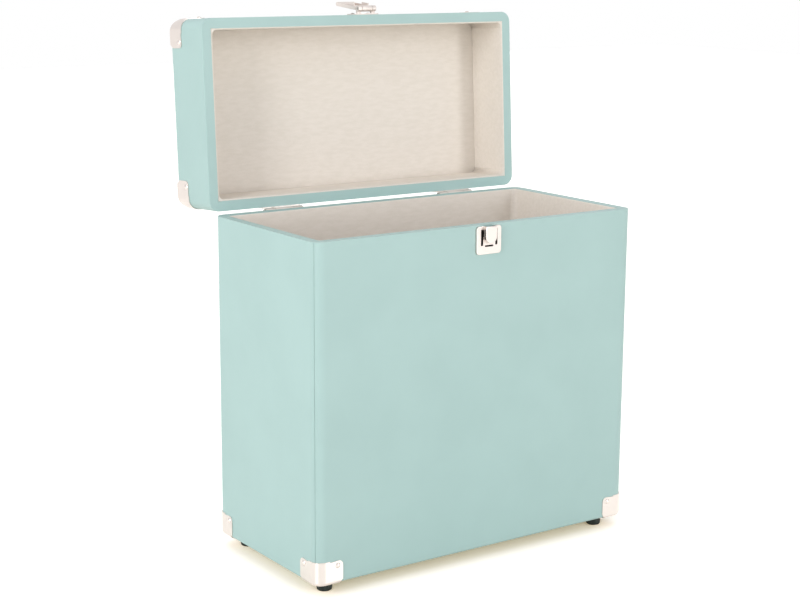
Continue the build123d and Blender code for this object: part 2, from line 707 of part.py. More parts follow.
def add_lid():
    """Everything that swings with the lid, built shut and then opened."""
    rivets = leaf_rivet_places("lid") + hasp_rivet_places() + mount_rivet_places()
    drills = [place * RIVET_DRILL for place in rivets]
    pieces = half_pieces("lid", "top", lid_block, lid_height - rim_gap, case_depth, turn_lid, drills)
    nodes.update({name: swing(piece) for name, piece in pieces.items()})
    for name, side in SIDES.items():
        nodes[f"hinge_lid_leaf_{name}"] = swing(cut(make_lid_leaf(side * hinge_spacing / 2), drills))
        nodes[f"handle_mount_{name}"] = swing(cut(make_mount(side), drills))
    nodes["handle_pivot_pins"] = swing(Compound([make_handle_pin(side).solid() for side in SIDES.values()]))
    nodes["hasp_plate"] = swing(cut(make_hasp_plate(), drills))
    nodes["hasp_pin"] = swing(make_hasp_pin())
    nodes["lid_rivets"] = swing(group(RIVET, rivets))


def add_hasp():
    """The lever, turned back on the open lid."""
    pivot = Axis((0, hasp_y, hasp_z), (1, 0, 0))
    nodes["hasp_lever"] = swing(make_hasp_lever().rotate(pivot, -hasp_open_angle))


def add_handle():
    """The handle, hanging behind the open lid."""
    pivot = Axis((0, 0, handle_z), (1, 0, 0))
    ends = {name: make_handle_end(side) for name, side in SIDES.items()}
    nodes["handle_grip"] = swing(make_grip(ends.values()).rotate(pivot, handle_hang_angle))
    for name, end in ends.items():
        nodes[f"handle_end_{name}"] = swing(end.rotate(pivot, handle_hang_angle))


add_base()
add_lid()
add_hasp()
add_handle()

overall = Compound([solid for shape in nodes.values() for solid in shape.solids()]).bounding_box()
to_origin = Pos(-(overall.min.X + overall.max.X) / 2, -(overall.min.Y + overall.max.Y) / 2, -overall.min.Z)

os.makedirs("parts", exist_ok=True)
for node_name, node_shape in nodes.items():
    export_step(to_origin * node_shape, f"parts/{node_name}.step")
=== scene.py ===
"""Dresses the record case: leatherette, felt, pressed metalwork, feet, handle grip, and the studio.

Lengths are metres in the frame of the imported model, unless a name ends in _mm.
"""

import json
import logging
import math
from dataclasses import dataclass
from enum import Enum
from typing import Any, Callable, Iterable, Sequence

import bmesh
import bpy
from mathutils import Matrix, Vector, noise

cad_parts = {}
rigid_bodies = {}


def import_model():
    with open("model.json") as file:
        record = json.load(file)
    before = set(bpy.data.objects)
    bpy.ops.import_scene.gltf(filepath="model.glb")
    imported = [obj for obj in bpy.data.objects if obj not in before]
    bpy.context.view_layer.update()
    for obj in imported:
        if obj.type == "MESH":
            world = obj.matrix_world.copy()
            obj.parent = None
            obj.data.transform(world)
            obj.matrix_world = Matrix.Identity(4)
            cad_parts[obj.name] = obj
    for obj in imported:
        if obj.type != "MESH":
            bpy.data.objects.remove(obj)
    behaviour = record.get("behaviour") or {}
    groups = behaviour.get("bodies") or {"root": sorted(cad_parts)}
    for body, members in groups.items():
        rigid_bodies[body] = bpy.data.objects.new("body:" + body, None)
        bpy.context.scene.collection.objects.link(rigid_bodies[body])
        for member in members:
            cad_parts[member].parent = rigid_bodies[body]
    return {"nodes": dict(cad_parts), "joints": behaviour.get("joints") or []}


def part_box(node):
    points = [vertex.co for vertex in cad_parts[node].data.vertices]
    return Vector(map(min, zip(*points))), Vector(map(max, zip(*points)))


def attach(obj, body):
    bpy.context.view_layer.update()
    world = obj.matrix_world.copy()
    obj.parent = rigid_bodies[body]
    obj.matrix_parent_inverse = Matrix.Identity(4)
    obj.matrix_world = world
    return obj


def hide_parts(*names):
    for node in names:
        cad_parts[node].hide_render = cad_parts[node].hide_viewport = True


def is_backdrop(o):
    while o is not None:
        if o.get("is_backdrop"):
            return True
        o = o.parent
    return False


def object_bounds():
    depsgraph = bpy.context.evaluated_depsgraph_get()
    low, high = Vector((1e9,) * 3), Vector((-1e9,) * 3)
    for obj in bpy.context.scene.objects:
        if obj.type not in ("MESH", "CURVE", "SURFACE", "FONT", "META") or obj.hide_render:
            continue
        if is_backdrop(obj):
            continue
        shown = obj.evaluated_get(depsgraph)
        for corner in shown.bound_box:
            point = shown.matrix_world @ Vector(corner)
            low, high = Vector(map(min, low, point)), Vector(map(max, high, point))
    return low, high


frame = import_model()

LOG = logging.getLogger("record_case")
MM = 0.001
SAME_PLACE = 0.05 * MM
CORNERS = ("front_left", "front_right", "back_left", "back_right")
SIDES = ("left", "right")
WHITE = "#FFFFFF"

# Blender's noise seldom leaves the first span. In it, a patch turns from one tone to the other
# across the second. A diagonal wave texture's bands are WAVE_BAND apart at a scale of 1.
NOISE_SPAN = (0.3, 0.7)
PATCH_SPAN = (0.35, 0.65)
WAVE_BAND = 2 * math.pi / 10

Node, Tree, Socket = bpy.types.Node, bpy.types.NodeTree, bpy.types.NodeSocket
Material, Piece = bpy.types.Material, bpy.types.Object
Form, Edge = bmesh.types.BMesh, bmesh.types.BMEdge
Values = dict[str | int, Any]
Links = dict[str | int, Socket]
Span = tuple[float, float]
Stretch = tuple[float, float, float]
Stops = Sequence[tuple[float, str]]
EdgeTest = Callable[[Edge], bool]
EdgeShare = Callable[[Edge], float]


class Half(Enum):
    """The two halves of the box, named as their bodies are."""

    BASE = "base"
    LID = "lid"


# ---- materials: helpers ----
def linear(hex_code: str) -> tuple[float, float, float, float]:
    """Turns an sRGB hex colour to linear light.

    Args:
        hex_code: the colour, such as "#B3D1CB".

    Returns:
        Red, green, blue and an alpha of 1.
    """
    parts = [int(hex_code[i : i + 2], 16) / 255 for i in (1, 3, 5)]
    red, green, blue = (p / 12.92 if p <= 0.04045 else ((p + 0.055) / 1.055) ** 2.4 for p in parts)
    return red, green, blue, 1.0


def per_metre(size_mm: float) -> float:
    """Gives the texture scale at which one feature is this many millimetres wide."""
    return 1.0 / (size_mm * MM)


def set_inputs(node: Node, values: Values | None = None, links: Links | None = None) -> None:
    """Sets the inputs of a node.

    Args:
        node: the node.
        values: input names or indexes, with the constant that each is set to.
        links: input names or indexes, with the socket that feeds each.
    """
    for name, value in (values or {}).items():
        node.inputs[name].default_value = value
    for name, socket in (links or {}).items():
        node.id_data.links.new(socket, node.inputs[name])


def add_node(
    tree: Tree,
    kind: str,
    values: Values | None = None,
    links: Links | None = None,
    **settings: Any,
) -> Node:
    """Adds one node to a tree.

    Args:
        tree: the tree that gets the node.
        kind: the node's type, such as "ShaderNodeBump".
        values: constants for its inputs.
        links: sockets for its inputs.
        settings: attributes of the node itself.

    Returns:
        The new node.
    """
    node = tree.nodes.new(kind)
    for name, value in settings.items():
        setattr(node, name, value)
    set_inputs(node, values, links)
    return node


def bare_tree(owner: Material | bpy.types.World) -> Tree:
    """Empties a node tree.

    Args:
        owner: the material or world that it belongs to.

    Returns:
        The tree.
    """
    owner.use_nodes = True
    owner.node_tree.nodes.clear()
    return owner.node_tree


def place_on(tree: Tree, stretch: Sequence[float] = (1, 1, 1)) -> Socket:
    """Gives a pattern its place: the piece's own coordinates in metres.

    Args:
        tree: the material's tree.
        stretch: factors along X, Y and Z, for patterns that run one way.

    Returns:
        The coordinate socket.
    """
    place = add_node(tree, "ShaderNodeTexCoord")
    scaled = add_node(
        tree, "ShaderNodeMapping", {"Scale": stretch}, {"Vector": place.outputs["Object"]}
    )
    return scaled.outputs["Vector"]


def fill_ramp(node: Node, stops: Stops) -> None:
    """Sets a colour ramp's stops.

    Args:
        node: the ramp node.
        stops: positions and colours, in order.
    """
    ramp = node.color_ramp
    ramp.elements[0].position, ramp.elements[0].color = stops[0][0], linear(stops[0][1])
    ramp.elements[1].position, ramp.elements[1].color = stops[-1][0], linear(stops[-1][1])
    for position, colour in stops[1:-1]:
        ramp.elements.new(position).color = linear(colour)


def relief(
    tree: Tree,
    height: Socket,
    depth_mm: float,
    strength: float,
    over: Socket | None = None,
) -> Socket:
    """Turns a height to a bumped normal, over an earlier one if given.

    Args:
        tree: the material's tree.
        height: the pattern, from 0 to 1.
        depth_mm: the real depth between 0 and 1.
        strength: how much of it shows.
        over: the normal that it is laid over.

    Returns:
        The normal socket.
    """
    links = {"Height": height}
    if over is not None:
        links["Normal"] = over
    bump = add_node(
        tree, "ShaderNodeBump", {"Distance": depth_mm * MM, "Strength": strength}, links
    )
    return bump.outputs["Normal"]


def spread(tree: Tree, value: Socket, ends: Span) -> Socket:
    """Maps a noise onto a range.

    Args:
        tree: the material's tree.
        value: the noise.
        ends: what its lows and its highs become.

    Returns:
        The mapped socket.
    """
    span = {"From Min": NOISE_SPAN[0], "From Max": NOISE_SPAN[1], "To Min": ends[0], "To Max": ends[1]}
    return add_node(tree, "ShaderNodeMapRange", span, {"Value": value}).outputs["Result"]


# ---- finishes ----
@dataclass(frozen=True)
class Tones:
    """A colour that drifts between two tones, in patches of a real width."""

    dark: str
    light: str
    patch_mm: float
    detail: float = 4.0

    def mottle(self, tree: Tree, place: Socket) -> Socket:
        """Gives the colour's socket.

        Args:
            tree: the material's tree.
            place: the coordinates.

        Returns:
            The colour socket.
        """
        drift = add_node(
            tree, "ShaderNodeTexNoise",
            {"Scale": per_metre(self.patch_mm), "Detail": self.detail}, {"Vector": place},
        )
        ramp = add_node(tree, "ShaderNodeValToRGB", links={"Fac": drift.outputs["Fac"]})
        fill_ramp(ramp, tuple(zip(PATCH_SPAN, (self.dark, self.light))))
        return ramp.outputs["Color"]


@dataclass(frozen=True)
class Grain:
    """Small relief on a surface, as a noise of a real width and depth."""

    size_mm: float
    depth_mm: float
    strength: float
    detail: float
    roughness: float = 0.5
    distortion: float = 0.0

    def lay(self, tree: Tree, place: Socket, over: Socket | None = None) -> tuple[Socket, Socket]:
        """Lays it on a surface.

        Args:
            tree: the material's tree.
            place: the coordinates.
            over: the normal that it is laid over.

        Returns:
            The pattern's socket, from 0 to 1, and the normal's.
        """
        pattern = add_node(
            tree, "ShaderNodeTexNoise",
            {
                "Scale": per_metre(self.size_mm),
                "Detail": self.detail,
                "Roughness": self.roughness,
                "Distortion": self.distortion,
            },
            {"Vector": place},
        ).outputs["Fac"]
        return pattern, relief(tree, pattern, self.depth_mm, self.strength, over)


@dataclass(frozen=True)
class Finish:
    """What all finishes share: a name, and a Principled shader that each one sets in its own way."""

    name: str

    def dress(self, tree: Tree, shader: Node) -> None:
        """Sets the shader's inputs.

        Args:
            tree: the material's tree.
            shader: its shader.
        """
        raise NotImplementedError

    def build(self) -> Material:
        """Makes the material.

        Returns:
            The material.
        """
        material = bpy.data.materials.new(self.name)
        tree = bare_tree(material)
        shader = add_node(tree, "ShaderNodeBsdfPrincipled")
        add_node(tree, "ShaderNodeOutputMaterial", links={"Surface": shader.outputs["BSDF"]})
        self.dress(tree, shader)
        return material


@dataclass(frozen=True)
class Leatherette(Finish):
    """Vinyl-coated paper with an embossed grain: satin, with a soft sheen and faint pebbling.

    The real grain is about half a millimetre; it is drawn coarser so that it shows.
    """

    name: str = "embossed_vinyl_leatherette"
    tones: Tones = Tones("#AFCCCA", "#B2CFCD", 60.0, detail=3.0)
    pebble_mm: float = 1.1
    pebble_depth_mm: float = 0.05
    pebble_strength: float = 0.22
    wobble_mm: float = 3.0
    wobble_shift_mm: float = 0.8
    sag: Grain = Grain(size_mm=30.0, depth_mm=0.08, strength=0.15, detail=1.0)
    roughness: Span = (0.41, 0.5)

    def dress(self, tree: Tree, shader: Node) -> None:
        """Lays a wandering grain over a slight sag of the board, in two close tones.

        Args:
            tree: the material's tree.
            shader: its shader.
        """
        place = place_on(tree)
        wobble = add_node(
            tree, "ShaderNodeTexNoise",
            {"Scale": per_metre(self.wobble_mm), "Detail": 2.0}, {"Vector": place},
        )
        bent = add_node(
            tree, "ShaderNodeVectorMath",
            {"Scale": self.wobble_shift_mm * MM}, {0: wobble.outputs["Color"]}, operation="SCALE",
        )
        warped = add_node(
            tree, "ShaderNodeVectorMath", links={0: place, 1: bent.outputs["Vector"]}, operation="ADD"
        )
        pebbles = add_node(
            tree, "ShaderNodeTexVoronoi",
            {"Scale": per_metre(self.pebble_mm), "Randomness": 1.0},
            {"Vector": warped.outputs["Vector"]},
            feature="SMOOTH_F1",
        ).outputs["Distance"]
        _, soft = self.sag.lay(tree, place)
        set_inputs(
            shader,
            {"IOR": 1.5, "Specular IOR Level": 0.3},
            {
                "Normal": relief(tree, pebbles, self.pebble_depth_mm, self.pebble_strength, soft),
                "Base Color": self.tones.mottle(tree, place),
                "Roughness": spread(tree, wobble.outputs["Fac"], self.roughness),
            },
        )


@dataclass(frozen=True)
class Felt(Finish):
    """Short-pile lining felt on card: matt, faintly fibrous, a little brighter where it is seen aslant.

    Real fibres are hair-thin; they are drawn about a millimetre wide, over wisps of three.
    """

    name: str = "short_pile_felt"
    tones: Tones = Tones("#EBE4DB", "#F0E9E1", 3.0)
    fibres: Grain = Grain(
        size_mm=0.9, depth_mm=0.1, strength=0.3, detail=5.0, roughness=0.7, distortion=0.8
    )
    fibre_tone: Span = (0.96, 1.01)
    wisps: Grain = Grain(size_mm=3.0, depth_mm=0.12, strength=0.2, detail=3.0, distortion=1.2)
    wisp_stretch: Stretch = (0.3, 1.0, 1.0)
    sheen_tint: str = "#FFF8EE"

    def dress(self, tree: Tree, shader: Node) -> None:
        """Lays fine fibres over wisps that lie along X.

        Args:
            tree: the material's tree.
            shader: its shader.
        """
        lying = place_on(tree, self.wisp_stretch)
        _, nap = self.wisps.lay(tree, lying)
        fibres, pile = self.fibres.lay(tree, place_on(tree), nap)
        shaded = add_node(
            tree, "ShaderNodeVectorMath",
            links={0: self.tones.mottle(tree, lying), "Scale": spread(tree, fibres, self.fibre_tone)},
            operation="SCALE",
        )
        set_inputs(
            shader,
            {
                "Roughness": 0.95,
                "Specular IOR Level": 0.15,
                "Sheen Weight": 0.2,
                "Sheen Roughness": 0.5,
                "Sheen Tint": linear(self.sheen_tint),
            },
            {"Base Color": shaded.outputs["Vector"], "Normal": pile},
        )


@dataclass(frozen=True)
class NickelPlate(Finish):
    """Nickel-plated pressed sheet, polished along its length: warm, with upright streaks of light."""

    name: str = "nickel_plated_sheet"
    colour: str = "#E4DBD6"
    waves: Grain = Grain(size_mm=12.0, depth_mm=0.03, strength=0.5, detail=1.0)
    haze_mm: float = 6.0
    roughness: Span = (0.32, 0.37)
    brushed: float = 0.85

    def dress(self, tree: Tree, shader: Node) -> None:
        """Makes it a metal with slow waves, a little haze and marks that run round the upright.

        Args:
            tree: the material's tree.
            shader: its shader.
        """
        place = place_on(tree)
        _, dimples = self.waves.lay(tree, place)
        haze = add_node(
            tree, "ShaderNodeTexNoise",
            {"Scale": per_metre(self.haze_mm), "Detail": 4.0}, {"Vector": place},
        )
        around = add_node(tree, "ShaderNodeTangent", direction_type="RADIAL", axis="Z")
        set_inputs(
            shader,
            {
                "Base Color": linear(self.colour),
                "Metallic": 1.0,
                "Anisotropic": self.brushed,
                "Anisotropic Rotation": 0.25,
            },
            {
                "Normal": dimples,
                "Roughness": spread(tree, haze.outputs["Fac"], self.roughness),
                "Tangent": around.outputs["Tangent"],
            },
        )


@dataclass(frozen=True)
class DrawnSteel(Finish):
    """Drawn and plated wire or pins: satin, with fine lines along the bar."""

    name: str = "drawn_steel_pin"
    tones: Tones = Tones("#8E8A85", "#A9A49E", 1.5)
    lines: Grain = Grain(size_mm=0.35, depth_mm=0.02, strength=0.4, detail=3.0)
    line_stretch: Stretch = (0.05, 1.0, 1.0)
    roughness: Span = (0.27, 0.42)

    def dress(self, tree: Tree, shader: Node) -> None:
        """Makes it a metal with lines along X, as the pins lie.

        Args:
            tree: the material's tree.
            shader: its shader.
        """
        along = place_on(tree, self.line_stretch)
        lines, scored = self.lines.lay(tree, along)
        set_inputs(
            shader,
            {"Metallic": 1.0},
            {
                "Normal": scored,
                "Base Color": self.tones.mottle(tree, along),
                "Roughness": spread(tree, lines, self.roughness),
            },
        )


@dataclass(frozen=True)
class MouldedRubber(Finish):
    """Moulded black rubber: almost matt, with a fine sparked texture and a green-black tone."""

    name: str = "moulded_rubber"
    tones: Tones = Tones("#12201F", "#1D2C2B", 3.0)
    sparks: Grain = Grain(size_mm=0.5, depth_mm=0.05, strength=0.4, detail=3.0)
    roughness: Span = (0.49, 0.67)

    def dress(self, tree: Tree, shader: Node) -> None:
        """Gives it the pits of a sparked mould.

        Args:
            tree: the material's tree.
            shader: its shader.
        """
        place = place_on(tree)
        sparks, pitted = self.sparks.lay(tree, place)
        set_inputs(
            shader,
            links={
                "Normal": pitted,
                "Base Color": self.tones.mottle(tree, place),
                "Roughness": spread(tree, sparks, self.roughness),
            },
        )


@dataclass(frozen=True)
class Fibreboard(Finish):
    """Bare fibreboard or card: matt, with short pressed fibres. Boards show only if a cover lifts."""

    name: str = "pressed_fibreboard"
    tones: Tones = Tones("#9A7F5E", "#B79C79", 1.6)
    fibres: Grain = Grain(size_mm=1.6, depth_mm=0.1, strength=0.4, detail=5.0)
    fibre_stretch: Stretch = (0.4, 1.0, 1.0)

    def dress(self, tree: Tree, shader: Node) -> None:
        """Lays its fibres along X.

        Args:
            tree: the material's tree.
            shader: its shader.
        """
        place = place_on(tree, self.fibre_stretch)
        _, pressed = self.fibres.lay(tree, place)
        tone = self.tones.mottle(tree, place)
        set_inputs(shader, {"Roughness": 0.85}, {"Base Color": tone, "Normal": pressed})


@dataclass(frozen=True)
class WaxedThread(Finish):
    """Waxed sewing thread: pale, with a slight lustre and a twist, drawn coarser than it is."""

    name: str = "waxed_thread"
    tones: Tones = Tones("#C9DAD5", "#E6EEEA", 1.2)
    twist_mm: float = 7.54
    twist_depth_mm: float = 0.1
    twist_strength: float = 0.5
    twist_stretch: Stretch = (1.0, 0.7, 0.7)

    def dress(self, tree: Tree, shader: Node) -> None:
        """Winds the twist askew along the thread.

        Args:
            tree: the material's tree.
            shader: its shader.
        """
        place = place_on(tree, self.twist_stretch)
        twist = add_node(
            tree, "ShaderNodeTexWave",
            {"Scale": per_metre(self.twist_mm) * WAVE_BAND, "Distortion": 1.0}, {"Vector": place},
            bands_direction="DIAGONAL",
        ).outputs["Fac"]
        wound = relief(tree, twist, self.twist_depth_mm, self.twist_strength)
        tone = self.tones.mottle(tree, place)
        set_inputs(shader, {"Roughness": 0.5}, {"Base Color": tone, "Normal": wound})


@dataclass(frozen=True)
class Finishes:
    """Every finish on the case, made once."""

    leatherette: Material
    felt: Material
    felt_edge: Material
    nickel: Material
    nail_nickel: Material
    pin_steel: Material
    spring_steel: Material
    rubber: Material
    board: Material
    black_paper: Material
    thread: Material

    @classmethod
    def mix(cls) -> "Finishes":
        """Builds all the materials.

        Returns:
            The set of finishes.
        """
        small_waves = Grain(size_mm=3.0, depth_mm=0.03, strength=0.5, detail=1.0)
        nail = NickelPlate(
            "nickel_plated_nail", waves=small_waves, roughness=(0.18, 0.23), brushed=0.0
        )
        return cls(
            leatherette=Leatherette().build(),
            felt=Felt().build(),
            # A lighter copy of the felt: a painted highlight for the faces at the rim.
            felt_edge=Felt("felt_rim_painted_highlight", Tones("#FBFAEE", "#FFFEF4", 3.0)).build(),
            nickel=NickelPlate().build(),
            nail_nickel=nail.build(),
            pin_steel=DrawnSteel().build(),
            spring_steel=DrawnSteel("spring_steel_strip", Tones("#6F6D6A", "#8A8783", 1.5)).build(),
            rubber=MouldedRubber().build(),
            board=Fibreboard().build(),
            # A near-black board finish for the sheet of painted shade behind the strike.
            black_paper=Fibreboard("painted_shade_black_sheet", Tones("#15110F", "#241E1B", 1.6)).build(),
            thread=WaxedThread().build(),
        )


# ---- meshes: helpers ----
def paint(piece: Piece, material: Material) -> None:
    """Gives a piece one material."""
    piece.data.materials.clear()
    piece.data.materials.append(material)


def paint_nodes(names: Iterable[str], material: Material) -> None:
    """Gives CAD nodes one material, and reports it.

    Args:
        names: the nodes' names.
        material: their finish.
    """
    for name in names:
        paint(frame["nodes"][name], material)
        LOG.info("%s: dressed in %s", name, material.name)


def new_piece(name: str, mesh: Form, material: Material) -> Piece:
    """Turns a bmesh to an object with one finish.

    Args:
        name: the piece's name.
        mesh: the geometry, which is freed.
        material: its finish.

    Returns:
        The object, linked to the scene.
    """
    data = bpy.data.meshes.new(name)
    mesh.to_mesh(data)
    mesh.free()
    piece = bpy.data.objects.new(name, data)
    bpy.context.scene.collection.objects.link(piece)
    paint(piece, material)
    return piece


def bake_modifiers(piece: Piece) -> None:
    """Applies a piece's modifiers to its mesh.

    Args:
        piece: the piece.
    """
    bpy.context.view_layer.update()
    shaped = bpy.data.meshes.new_from_object(
        piece.evaluated_get(bpy.context.evaluated_depsgraph_get())
    )
    piece.modifiers.clear()
    piece.data = shaped


def sharpness(edge: Edge) -> float:
    """Gives the angle between an edge's two faces in degrees, or 0 where it has not two."""
    return math.degrees(edge.calc_face_angle(0.0)) if len(edge.link_faces) == 2 else 0.0


def shade_smooth(mesh: Form) -> None:
    """Shades all faces smooth."""
    for face in mesh.faces:
        face.smooth = True


def sized(middle: Vector, size: Sequence[float]) -> Matrix:
    """Gives the matrix that brings a unit form to a size and a place."""
    return Matrix.Translation(middle) @ Matrix.Diagonal((*size, 1))


def skin(mesh: Form, rings: Sequence[Sequence[bmesh.types.BMVert]]) -> None:
    """Joins rings of points to a closed form with flat ends.

    Args:
        mesh: the mesh that holds the points.
        rings: the rings in order, each with the same number of points.
    """
    count = len(rings[0])
    for first, second in zip(rings, rings[1:]):
        for k in range(count):
            after = (k + 1) % count
            mesh.faces.new((first[k], first[after], second[after], second[k]))
    for ring in (rings[0], rings[-1]):
        mesh.faces.new(ring)
    bmesh.ops.recalc_face_normals(mesh, faces=mesh.faces)
    for face in mesh.faces:
        face.smooth = len(face.verts) == 4


def welded_copy(node: str) -> Form:
    """Copies a CAD node's mesh with its seams welded and its flat faces whole.

    Args:
        node: the node's name.

    Returns:
        The copy, for the caller to shape.
    """
    weld_mm, flat_degrees = 0.002, 0.2
    mesh = bmesh.new()
    mesh.from_mesh(frame["nodes"][node].data)
    bmesh.ops.remove_doubles(mesh, verts=mesh.verts, dist=weld_mm * MM)
    bmesh.ops.dissolve_limit(
        mesh, angle_limit=math.radians(flat_degrees), verts=mesh.verts, edges=mesh.edges
    )
    shade_smooth(mesh)
    return mesh


def softened(
    node: str,
    name: str,
    body: str,
    material: Material,
    width_mm: float,
    share: EdgeShare | None = None,
    fold: tuple[EdgeTest, float] | None = None,
    close: Callable[[Form], None] | None = None,
) -> None:
    """Makes a copy of a CAD node with its sharp edges rounded, and shows it in the node's place.

    Args:
        node: the CAD node that it stands for.
        name: the new piece's name.
        body: the body that it rides on.
        material: its finish.
        width_mm: width of a whole rounding.
        share: gives an edge its share of the width; all sharp edges get all of it if left out.
        fold: which edges are turned over more softly first, and by how many millimetres.
        close: shifts the mesh's points before anything is rounded.
    """
    fold_degrees, sharp_degrees = 20, 35
    mesh = welded_copy(node)
    if close is not None:
        close(mesh)
    if fold is not None:
        picks, fold_mm = fold
        bmesh.ops.bevel(
            mesh, geom=[edge for edge in mesh.edges if sharpness(edge) > fold_degrees and picks(edge)],
            offset=fold_mm * MM, segments=4, profile=0.5, affect="EDGES", clamp_overlap=False,
        )
        shade_smooth(mesh)
    weights = mesh.edges.layers.float.new("bevel_weight_edge")
    for edge in mesh.edges:
        if sharpness(edge) > sharp_degrees:
            edge[weights] = 1.0 if share is None else share(edge)
            edge.smooth = edge[weights] > 0.0
    piece = new_piece(name, mesh, material)
    rounding = piece.modifiers.new("rounding", "BEVEL")
    rounding.limit_method = "WEIGHT"
    rounding.width = width_mm * MM
    rounding.segments = 2
    rounding.use_clamp_overlap = True
    rounding.harden_normals = True
    rounding.miter_outer = "MITER_ARC"
    normals = piece.modifiers.new("even_normals", "WEIGHTED_NORMAL")
    normals.keep_sharp = True
    bake_modifiers(piece)
    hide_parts(node)
    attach(piece, body)


def lid_opening() -> Matrix:
    """Gives the turn from the shut lid to the open one, as the model rests.

    Returns:
        The turn, about the hinges' axis.
    """
    joint = next(joint for joint in frame["joints"] if joint["name"] == "lid_hinge")
    pivot = Vector(joint["pos_m"])
    turn = Matrix.Rotation(-math.radians(joint["range_deg"][1]), 4, "X")
    return Matrix.Translation(pivot) @ turn @ Matrix.Translation(-pivot)


def half_turn(half: Half) -> Matrix:
    """Gives the turn from a half's upright place to where it rests."""
    return lid_opening() if half is Half.LID else Matrix.Identity(4)


def straight_box(node: str, turn: Matrix) -> tuple[Vector, Vector]:
    """Gives a node's box before it was turned.

    Args:
        node: the CAD node.
        turn: the turn that brought it to rest.

    Returns:
        The lowest and highest corners.
    """
    back = turn.inverted()
    points = [back @ vertex.co for vertex in frame["nodes"][node].data.vertices]
    low = Vector(min(point[axis] for point in points) for axis in range(3))
    high = Vector(max(point[axis] for point in points) for axis in range(3))
    return low, high


def rim_height(half: Half, low: Vector, high: Vector) -> float:
    """Gives the height of a straight box's end that faces the other half."""
    return high.z if half is Half.BASE else low.z


# ---- the box ----
@dataclass
class Covers:
    """The leatherette: a wrap and two end pieces on each half, with rounded rims and seam lips."""

    finishes: Finishes
    rim_round_mm: float = 0.55
    lip_share: float = 0.4
    end_fold_mm: float = 1.8
    fold_depth_mm: float = 12.5
    fold_reach_mm: float = 8.2
    seam_reach_mm: float = 0.45

    def top_fold(self, half: Half) -> EdgeTest:
        """Gives the rule that picks the edges where the lid's top is folded over its ends.

        Args:
            half: the half that the cover is on.

        Returns:
            A function from an edge to whether it is one.
        """
        back = half_turn(half).inverted()
        _, top = straight_box("lid_wrap_cover", half_turn(Half.LID))
        _, end = straight_box("lid_right_cover", half_turn(Half.LID))

        def picks(edge: Edge) -> bool:
            """Tells whether an edge is on the fold.

            Args:
                edge: the edge.

            Returns:
                True if it is.
            """
            points = [back @ vertex.co for vertex in edge.verts]
            near_top = all(point.z > top.z - self.fold_depth_mm * MM for point in points)
            near_end = all(abs(point.x) > end.x - self.fold_reach_mm * MM for point in points)
            return half is Half.LID and near_top and near_end and edge.is_convex

        return picks

    def close_seams(self, mesh: Form) -> None:
        """Draws the lid's end covers and wrap together, as stretched leatherette lies butt to butt.

        Args:
            mesh: a cover of the lid.
        """
        low, _ = straight_box("lid_right_cover", half_turn(Half.LID))
        for vertex in mesh.verts:
            if abs(abs(vertex.co.x) - low.x) < self.seam_reach_mm * MM:
                vertex.co.x = math.copysign(low.x, vertex.co.x)

    def rim_share(self, half: Half) -> EdgeShare:
        """Gives the rule by which rims are rounded whole, the base's lips in part, and closed seams not.

        Args:
            half: the half whose rim it is.

        Returns:
            A function from an edge to its share of the rounding.
        """
        back = half_turn(half).inverted()
        rim = rim_height(half, *straight_box(f"{half.value}_wrap_cover", half_turn(half)))
        lips = self.lip_share if half is Half.BASE else 0.0
        seam, _ = straight_box("lid_right_cover", half_turn(Half.LID))

        def share(edge: Edge) -> float:
            """Gives one edge's share of the rounding.

            Args:
                edge: the edge.

            Returns:
                From 0 to 1.
            """
            on_seam = all(abs(abs(vertex.co.x) - seam.x) < SAME_PLACE for vertex in edge.verts)
            if half is Half.LID and on_seam:
                return 0.0
            heights = [(back @ vertex.co).z for vertex in edge.verts]
            return 1.0 if all(abs(height - rim) < SAME_PLACE for height in heights) else lips

        return share

    def build(self) -> None:
        """Dresses the covers of both halves."""
        for half in Half:
            for part in ("wrap", *SIDES):
                softened(
                    f"{half.value}_{part}_cover", f"{half.value}_{part}_leatherette", half.value,
                    self.finishes.leatherette, self.rim_round_mm, self.rim_share(half),
                    fold=(self.top_fold(half), self.end_fold_mm),
                    close=self.close_seams if half is Half.LID else None,
                )


